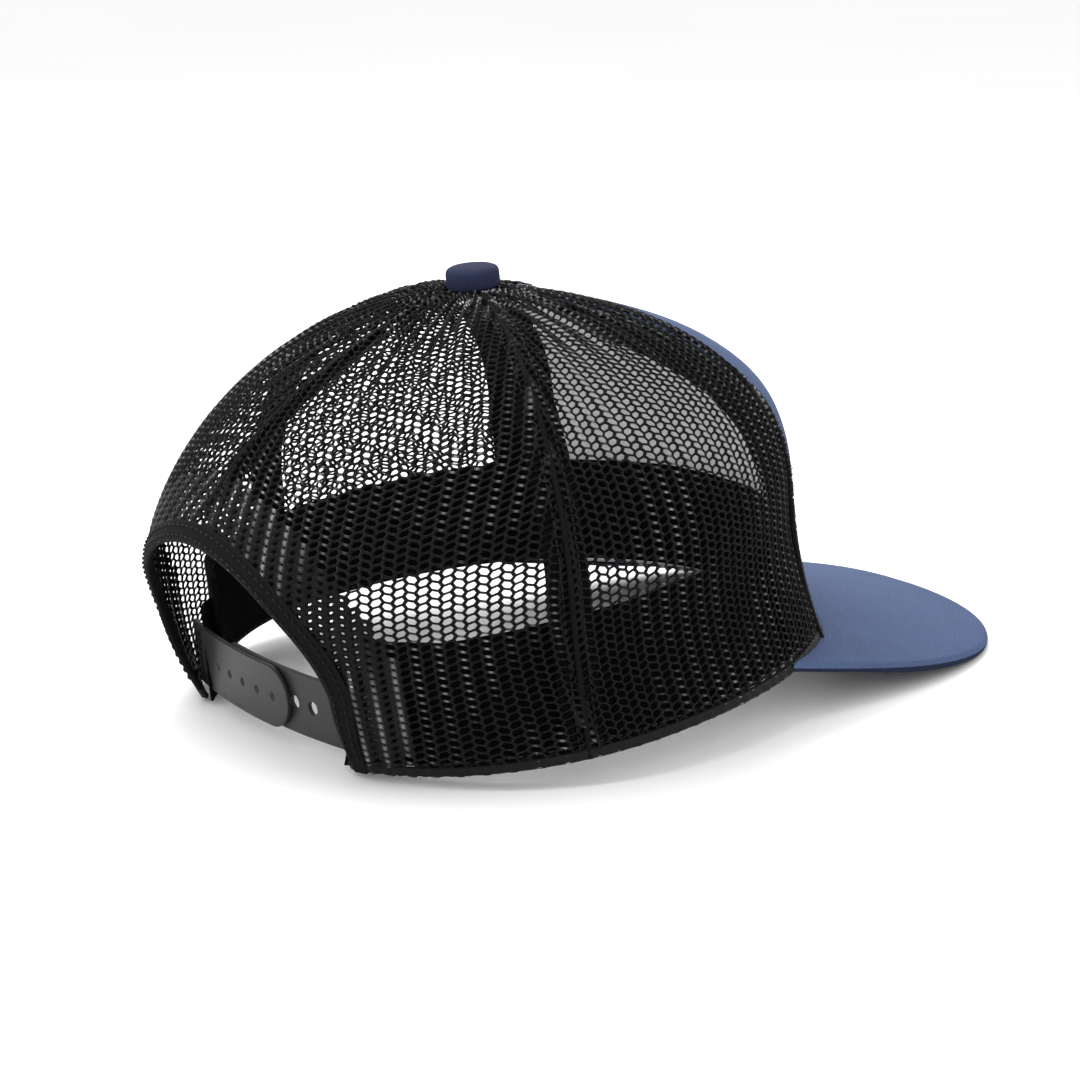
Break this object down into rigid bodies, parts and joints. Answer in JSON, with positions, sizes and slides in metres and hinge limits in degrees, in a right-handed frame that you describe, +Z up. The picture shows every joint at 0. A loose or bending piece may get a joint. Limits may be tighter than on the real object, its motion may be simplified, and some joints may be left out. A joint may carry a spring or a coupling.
{
  "type": "trucker mesh cap",
  "caption": "Trucker cap with a blue foam-backed front panel and visor, black mesh side and back panels, a sweatband, a covered top button and a snap strap across the back opening.",
  "frame": {"origin": "centre of the footprint of the cap's bounding box, on the table that it stands on", "axes": "+Z up, visor towards -Y, wearer's right towards -X, back opening towards +Y"},
  "size_m": [0.1882, 0.2838, 0.1353],
  "materials": {
    "twill": "matte blue cotton twill",
    "twill_under": "matte navy cotton twill, visor underside",
    "foam": "open cell foam backing",
    "lining": "light grey knitted lining",
    "mesh": "black polyester warp-knit mesh, slight sheen",
    "tape": "black woven tape",
    "band": "black woven sweatband",
    "board": "white polyethylene board",
    "button_metal": "plain pressed metal",
    "label": "black woven label with a plain orange stripe",
    "strap": "semi-matte moulded plastic"
  },
  "bodies": {
    "crown": {"front_panel_cover": "twill", "front_panel_foam": "foam", "front_panel_lining": "lining", "side_mesh_right": "mesh", "side_mesh_left": "mesh", "back_mesh_right": "mesh", "back_mesh_left": "mesh", "front_seam_tape_right": "tape", "front_seam_tape_left": "tape", "side_seam_tape_right": "tape", "side_seam_tape_left": "tape", "back_seam_tape": "tape", "arch_binding": "tape", "sweatband": "band", "sweatband_liner": "foam", "visor_board": "board", "visor_top_cover": "twill", "visor_under_cover": "twill_under", "button_cover": "twill", "button_shell": "button_metal", "button_washer": "button_metal", "inner_label": "label", "peg_strap_root": "strap", "hole_strap_root": "strap"},
    "peg_strap": {"peg_strap": "strap", "strap_pegs": "strap"},
    "hole_strap": {"hole_strap": "strap"}
  },
  "joints": [
    {"name": "peg_strap_bend", "type": "hinge", "parent": "crown", "child": "peg_strap", "pos_m": [0.03926, 0.11312, 0.01471], "axis": [0, -0.0884, -0.9961], "range_deg": [0, 70], "stiffness_Nm_per_rad": 0.01},
    {"name": "hole_strap_bend", "type": "hinge", "parent": "crown", "child": "hole_strap", "pos_m": [-0.03893, 0.11126, 0.01487], "axis": [0, -0.0884, -0.9961], "range_deg": [0, 45], "stiffness_Nm_per_rad": 0.01}
  ]
}
